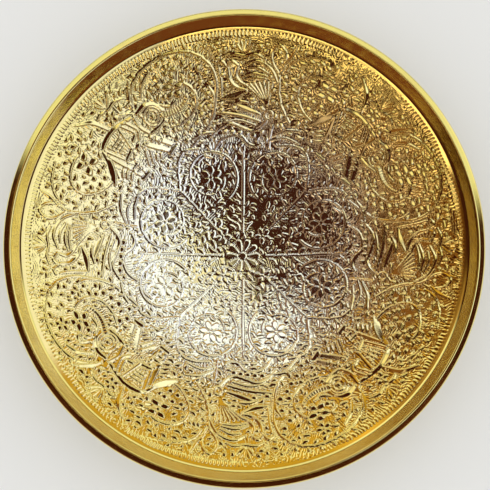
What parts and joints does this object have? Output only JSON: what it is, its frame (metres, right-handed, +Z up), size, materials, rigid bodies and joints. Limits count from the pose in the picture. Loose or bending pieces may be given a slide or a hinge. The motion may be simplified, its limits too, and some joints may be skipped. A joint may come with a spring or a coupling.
{
  "type": "offering plate",
  "caption": "Shallow round metal offering plate with embossed animals, birds and scrolls, gilt towards an upstanding collar and rolled rim and silvery at the centre, on a low foot ring",
  "frame": {"origin": "centre of the foot's resting plane, on the plate's axis", "axes": "+Z up along the plate's axis, +Y towards the top of the pattern as it is looked at"},
  "size_m": [0.3, 0.3, 0.0513],
  "materials": {
    "plated_dish": "brass sheet, chased and plated, silver at the centre fading to gold at the rim",
    "plated_foot": "spun brass, gold plated, satin",
    "solder": "tin-lead solder, wiped smooth",
    "rim_wire_steel": "bright drawn steel wire"
  },
  "bodies": {
    "root": {"dish_shell": "plated_dish", "foot_ring": "plated_foot", "foot_solder_fillet": "solder", "rim_wire": "rim_wire_steel"}
  },
  "joints": []
}
